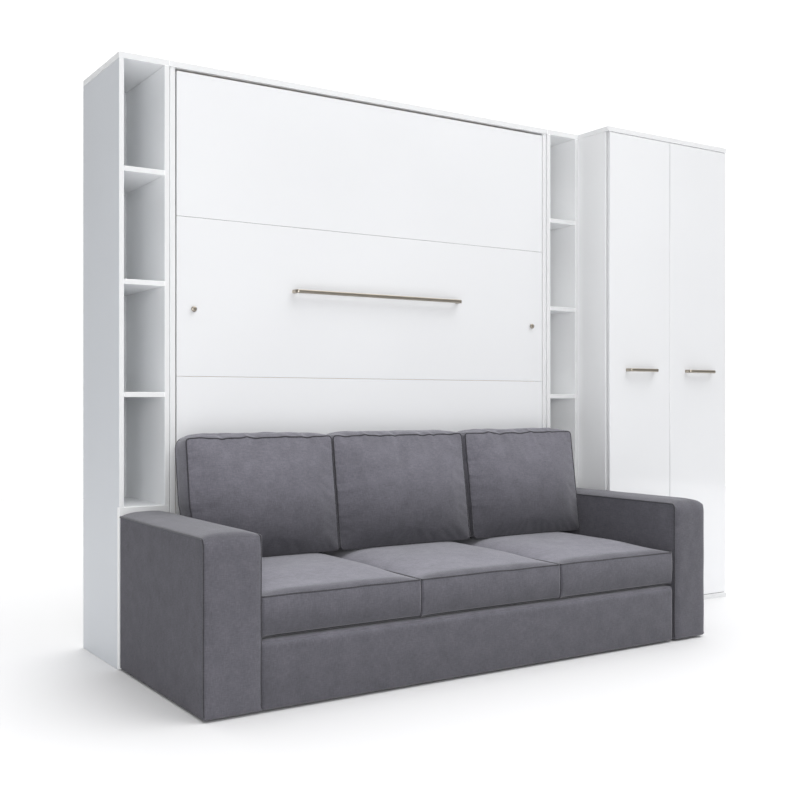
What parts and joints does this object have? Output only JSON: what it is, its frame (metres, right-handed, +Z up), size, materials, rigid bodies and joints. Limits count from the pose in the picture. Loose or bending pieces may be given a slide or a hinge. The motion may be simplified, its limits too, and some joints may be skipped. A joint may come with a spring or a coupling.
{
  "type": "wall bed with sofa",
  "caption": "Wall bed in a tall cabinet that folds down over a three-seat sofa, between open bookcases and beside a wardrobe with hinged doors.",
  "frame": {"origin": "on the floor, under the middle of the box round the whole unit", "axes": "+X to the right along the front, +Y from the room to the wall, +Z up"},
  "size_m": [2.9364, 1.17, 2.17],
  "materials": {
    "white_board": "satin white melamine",
    "gloss_front": "high gloss white lacquer",
    "back_sheet": "matt white hardboard",
    "zinc_steel": "satin zinc",
    "nickel": "brushed nickel",
    "velour": "short velour with a faint weave",
    "birch_ply": "clear lacquered plywood",
    "ticking": "woven mattress cover"
  },
  "bodies": {
    "cabinet": {"bookcase_left_outer_side": "white_board", "bookcase_left_inner_side": "white_board", "bookcase_left_top": "white_board", "bookcase_left_low_front": "white_board", "bookcase_left_floor": "white_board", "bookcase_left_shelf_1": "white_board", "bookcase_left_shelf_2": "white_board", "bookcase_left_shelf_3": "white_board", "bookcase_left_back": "back_sheet", "bookcase_right_outer_side": "white_board", "bookcase_right_inner_side": "white_board", "bookcase_right_top": "white_board", "bookcase_right_low_front": "white_board", "bookcase_right_floor": "white_board", "bookcase_right_shelf_1": "white_board", "bookcase_right_shelf_2": "white_board", "bookcase_right_shelf_3": "white_board", "bookcase_right_back": "back_sheet", "bed_cabinet_side_left": "white_board", "bed_cabinet_side_right": "white_board", "bed_cabinet_top": "white_board", "bed_cabinet_plinth": "white_board", "upper_wall_rail": "white_board", "pivot_plate_left": "zinc_steel", "pivot_plate_right": "zinc_steel", "wardrobe_side_left": "white_board", "wardrobe_side_right": "white_board", "wardrobe_top": "white_board", "wardrobe_base": "white_board", "wardrobe_shelf": "white_board", "wardrobe_back": "back_sheet", "hanging_rail": "zinc_steel", "sofa_arm_left": "velour", "sofa_arm_right": "velour", "seat_base": "velour", "sofa_back_board": "velour", "seat_cushion_left": "velour", "seat_cushion_middle": "velour", "seat_cushion_right": "velour"},
    "bed": {"front_board_1": "gloss_front", "front_board_2": "gloss_front", "front_board_3": "gloss_front", "front_board_4": "gloss_front", "side_rail_left": "birch_ply", "side_rail_right": "birch_ply", "head_rail": "birch_ply", "centre_beam": "birch_ply", "slats": "birch_ply", "mattress": "ticking", "bed_handle": "nickel"},
    "leg_frame": {"leg_frame": "zinc_steel"},
    "latch_left": {"latch_left": "nickel"},
    "latch_right": {"latch_right": "nickel"},
    "door_left": {"door_left": "gloss_front", "door_handle_left": "nickel"},
    "door_right": {"door_right": "gloss_front", "door_handle_right": "nickel"},
    "back_cushion_left": {"back_cushion_left": "velour"},
    "back_cushion_middle": {"back_cushion_middle": "velour"},
    "back_cushion_right": {"back_cushion_right": "velour"}
  },
  "joints": [
    {"name": "bed_fold", "type": "hinge", "parent": "cabinet", "child": "bed", "pos_m": [-0.39165, 0.199, 0.425], "axis": [1, 0, 0], "range_deg": [0, 90]},
    {"name": "leg_swing", "type": "hinge", "parent": "bed", "child": "leg_frame", "pos_m": [-0.39165, 0.24, 2.118], "axis": [1, 0, 0], "range_deg": [0, 270]},
    {"name": "latch_turn_left", "type": "hinge", "parent": "bed", "child": "latch_left", "pos_m": [-1.19065, 0.169, 1.279], "axis": [0, 1, 0], "range_deg": [0, 90]},
    {"name": "latch_turn_right", "type": "hinge", "parent": "bed", "child": "latch_right", "pos_m": [0.40735, 0.169, 1.279], "axis": [0, -1, 0], "range_deg": [0, 90]},
    {"name": "door_swing_left", "type": "hinge", "parent": "cabinet", "child": "door_left", "pos_m": [0.69815, -0.0226, 1.085], "axis": [0, 0, -1], "range_deg": [0, 90]},
    {"name": "door_swing_right", "type": "hinge", "parent": "cabinet", "child": "door_right", "pos_m": [1.45515, -0.0226, 1.085], "axis": [0, 0, 1], "range_deg": [0, 110]},
    {"name": "back_cushion_lay_left", "type": "hinge", "parent": "cabinet", "child": "back_cushion_left", "pos_m": [-0.98715, -0.3225, -0.2625], "axis": [1, 0, 0], "range_deg": [0, 90]},
    {"name": "back_cushion_lay_middle", "type": "hinge", "parent": "cabinet", "child": "back_cushion_middle", "pos_m": [-0.39165, -0.3225, -0.2625], "axis": [1, 0, 0], "range_deg": [0, 90]},
    {"name": "back_cushion_lay_right", "type": "hinge", "parent": "cabinet", "child": "back_cushion_right", "pos_m": [0.21635, -0.3225, -0.2625], "axis": [1, 0, 0], "range_deg": [0, 90]}
  ],
  "couplings": [
    {"joint": "leg_swing", "follows": "bed_fold", "ratio": 3},
    {"joint": "back_cushion_lay_left", "follows": "bed_fold", "ratio": 1},
    {"joint": "back_cushion_lay_middle", "follows": "bed_fold", "ratio": 1},
    {"joint": "back_cushion_lay_right", "follows": "bed_fold", "ratio": 1}
  ]
}
